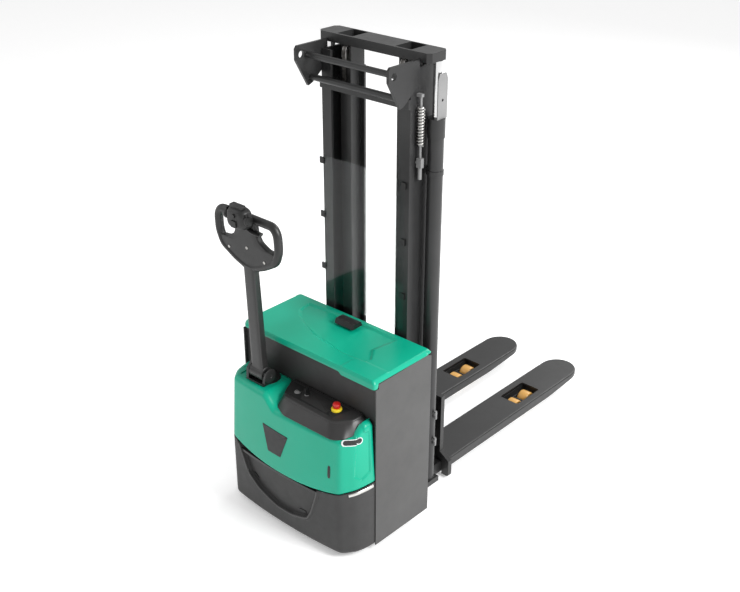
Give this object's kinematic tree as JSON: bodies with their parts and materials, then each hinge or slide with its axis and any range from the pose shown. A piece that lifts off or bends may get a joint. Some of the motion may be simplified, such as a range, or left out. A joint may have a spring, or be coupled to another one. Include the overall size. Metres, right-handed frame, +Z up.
{
  "type": "electric pallet stacker",
  "caption": "Walk-behind electric pallet stacker with a two-stage mast, wrap-over forks on straddle legs and an offset steering tiller.",
  "frame": {"origin": "middle of the footprint on the floor", "axes": "+Y towards the fork tips, +Z up, +X to the right of an operator who faces the forks"},
  "size_m": [0.79, 1.9725, 2.06],
  "materials": {
    "green_shell": "moulded shell in sea green, fine texture",
    "dark_shell": "moulded shell in dark grey, fine grain",
    "frame_paint": "powder coat, graphite grey",
    "mast_paint": "satin black paint",
    "fork_paint": "satin charcoal paint",
    "black_steel": "black paint",
    "tiller_shell": "grained dark grey",
    "black_trim": "black, fine grain",
    "stop_red": "red button",
    "key_metal": "zinc plated",
    "guard_metal": "light grey paint",
    "cast_metal": "sand cast and painted",
    "battery_case": "moulded case",
    "wheel_tyre": "black tread",
    "polyurethane": "amber cast tread",
    "rod_chrome": "hard chrome",
    "chain_steel": "oiled leaf chain",
    "clear_sheet": "clear sheet"
  },
  "bodies": {
    "chassis": {"base_frame": "frame_paint", "bumper_skirt": "dark_shell", "front_cowl": "green_shell", "console": "dark_shell", "console_panel": "black_trim", "side_panels": "frame_paint", "front_wall": "dark_shell", "battery": "battery_case", "power_pack": "cast_metal", "motor_controller": "cast_metal", "leg_right": "fork_paint", "leg_left": "fork_paint", "outer_rail_right": "mast_paint", "outer_rail_left": "mast_paint", "mast_crossmembers": "mast_paint", "hoist_bracket": "mast_paint", "lift_cylinders": "mast_paint", "cylinder_guards": "guard_metal", "guard_screen": "clear_sheet", "screen_clips": "black_trim", "hydraulic_lines": "key_metal", "chain_rear_runs": "chain_steel"},
    "lid": {"battery_lid": "green_shell", "lid_latch": "black_trim"},
    "stop_button": {"emergency_stop": "stop_red"},
    "key": {"key_switch": "key_metal"},
    "steering": {"drive_gearbox": "cast_metal", "drive_motor": "cast_metal", "steering_bracket": "black_steel"},
    "drive_wheel": {"drive_wheel": "wheel_tyre"},
    "tiller": {"tiller_shaft": "tiller_shell", "tiller_head": "tiller_shell", "control_pod": "tiller_shell"},
    "travel_control": {"travel_levers": "black_trim"},
    "lift_control": {"lift_rocker": "black_trim"},
    "horn": {"horn_button": "black_trim"},
    "belly_stop": {"belly_button": "black_trim"},
    "castor": {"castor_fork": "black_steel"},
    "castor_wheel": {"castor_wheel": "wheel_tyre"},
    "bogie_right": {"bogie_right": "black_steel"},
    "bogie_left": {"bogie_left": "black_steel"},
    "inner_mast": {"inner_rails": "mast_paint", "inner_brace": "mast_paint", "lift_rods": "rod_chrome", "top_crossmember": "mast_paint", "chain_arches": "chain_steel", "chain_front_runs": "chain_steel"},
    "mast_rollers": {"mast_rollers": "key_metal"},
    "guide_rollers": {"mast_guide_rollers": "key_metal"},
    "chain_pulleys": {"chain_pulleys": "key_metal"},
    "carriage": {"carriage_frame": "mast_paint", "heel_plate": "fork_paint", "fork_right": "fork_paint", "fork_left": "fork_paint"},
    "carriage_rollers_lower": {"carriage_rollers_lower": "key_metal"},
    "carriage_rollers_upper": {"carriage_rollers_upper": "key_metal"},
    "load_roller_right_rear": {"load_roller_right_rear": "polyurethane"},
    "load_roller_right_front": {"load_roller_right_front": "polyurethane"},
    "load_roller_left_rear": {"load_roller_left_rear": "polyurethane"},
    "load_roller_left_front": {"load_roller_left_front": "polyurethane"}
  },
  "joints": [
    {"name": "mast_lift", "type": "slide", "parent": "chassis", "child": "inner_mast", "axis": [0, 0, 1], "range_m": [0, 1.4], "deforming": ["chain_rear_runs"]},
    {"name": "carriage_lift", "type": "slide", "parent": "inner_mast", "child": "carriage", "axis": [0, 0, 1], "range_m": [0, 1.4], "deforming": ["chain_front_runs"]},
    {"name": "mast_roller_spin", "type": "hinge", "parent": "inner_mast", "child": "mast_rollers", "pos_m": [0, -0.37, 0.165], "axis": [1, 0, 0], "range_deg": [0, 1392.2]},
    {"name": "guide_roller_spin", "type": "hinge", "parent": "chassis", "child": "guide_rollers", "pos_m": [0, -0.342, 1.86], "axis": [1, 0, 0], "range_deg": [0, 2255.2]},
    {"name": "chain_pulley_spin", "type": "hinge", "parent": "inner_mast", "child": "chain_pulleys", "pos_m": [0, -0.342, 1.98], "axis": [1, 0, 0], "range_deg": [0, 1544.6]},
    {"name": "carriage_roller_lower_spin", "type": "hinge", "parent": "carriage", "child": "carriage_rollers_lower", "pos_m": [0, -0.342, 0.175], "axis": [1, 0, 0], "range_deg": [0, 2255.2]},
    {"name": "carriage_roller_upper_spin", "type": "hinge", "parent": "carriage", "child": "carriage_rollers_upper", "pos_m": [0, -0.342, 0.385], "axis": [1, 0, 0], "range_deg": [0, 2255.2]},
    {"name": "lid_hinge", "type": "hinge", "parent": "chassis", "child": "lid", "pos_m": [0, -0.468, 0.828], "axis": [-1, 0, 0], "range_deg": [0, 60]},
    {"name": "stop_press", "type": "slide", "parent": "chassis", "child": "stop_button", "axis": [0, 0, -1], "range_m": [0, 0.006]},
    {"name": "key_turn", "type": "hinge", "parent": "chassis", "child": "key", "pos_m": [0.04, -0.844, 0.662], "axis": [0, 0, 1], "range_deg": [-90, 0]},
    {"name": "steer", "type": "hinge", "parent": "chassis", "child": "steering", "pos_m": [-0.2, -0.855, 0.302], "axis": [0, 0, 1], "range_deg": [-85, 85]},
    {"name": "drive_spin", "type": "hinge", "parent": "steering", "child": "drive_wheel", "pos_m": [-0.2, -0.855, 0.1], "axis": [1, 0, 0], "continuous": true},
    {"name": "tiller_tilt", "type": "hinge", "parent": "steering", "child": "tiller", "pos_m": [-0.2, -0.888, 0.695], "axis": [1, 0, 0], "range_deg": [0, 70], "stiffness_Nm_per_rad": 26, "springref_deg": -40.11},
    {"name": "travel_turn", "type": "hinge", "parent": "tiller", "child": "travel_control", "pos_m": [-0.2, -0.9607, 1.43368], "axis": [1, 0, 0], "range_deg": [-20, 20], "stiffness_Nm_per_rad": 0.4},
    {"name": "lift_rock", "type": "hinge", "parent": "tiller", "child": "lift_control", "pos_m": [-0.2, -0.9858, 1.41065], "axis": [1, 0, 0], "range_deg": [-7, 7], "stiffness_Nm_per_rad": 0.2},
    {"name": "horn_press", "type": "slide", "parent": "tiller", "child": "horn", "axis": [0, 0.9992, 0.0401], "range_m": [0, 0.003], "stiffness_N_per_m": 300, "springref_m": -0.001},
    {"name": "belly_press", "type": "slide", "parent": "tiller", "child": "belly_stop", "axis": [0, 0.0401, -0.9992], "range_m": [0, 0.005], "stiffness_N_per_m": 400, "springref_m": -0.002},
    {"name": "castor_swivel", "type": "hinge", "parent": "chassis", "child": "castor", "pos_m": [0.215, -0.845, 0.302], "axis": [0, 0, 1], "continuous": true},
    {"name": "castor_spin", "type": "hinge", "parent": "castor", "child": "castor_wheel", "pos_m": [0.215, -0.811, 0.07], "axis": [1, 0, 0], "continuous": true},
    {"name": "bogie_right_rock", "type": "hinge", "parent": "chassis", "child": "bogie_right", "pos_m": [0.191, 0.532, 0.05], "axis": [1, 0, 0], "range_deg": [-6, 6]},
    {"name": "load_roller_right_rear_spin", "type": "hinge", "parent": "bogie_right", "child": "load_roller_right_rear", "pos_m": [0.191, 0.48, 0.041], "axis": [1, 0, 0], "continuous": true},
    {"name": "load_roller_right_front_spin", "type": "hinge", "parent": "bogie_right", "child": "load_roller_right_front", "pos_m": [0.191, 0.584, 0.041], "axis": [1, 0, 0], "continuous": true},
    {"name": "bogie_left_rock", "type": "hinge", "parent": "chassis", "child": "bogie_left", "pos_m": [-0.191, 0.532, 0.05], "axis": [1, 0, 0], "range_deg": [-6, 6]},
    {"name": "load_roller_left_rear_spin", "type": "hinge", "parent": "bogie_left", "child": "load_roller_left_rear", "pos_m": [-0.191, 0.48, 0.041], "axis": [1, 0, 0], "continuous": true},
    {"name": "load_roller_left_front_spin", "type": "hinge", "parent": "bogie_left", "child": "load_roller_left_front", "pos_m": [-0.191, 0.584, 0.041], "axis": [1, 0, 0], "continuous": true}
  ],
  "couplings": [
    {"joint": "carriage_lift", "follows": "mast_lift", "ratio": 1},
    {"joint": "mast_roller_spin", "follows": "mast_lift", "rad_per_m": 17.331},
    {"joint": "guide_roller_spin", "follows": "mast_lift", "rad_per_m": 28.09},
    {"joint": "chain_pulley_spin", "follows": "mast_lift", "rad_per_m": 19.231},
    {"joint": "carriage_roller_lower_spin", "follows": "mast_lift", "rad_per_m": 28.09},
    {"joint": "carriage_roller_upper_spin", "follows": "mast_lift", "rad_per_m": 28.09}
  ]
}
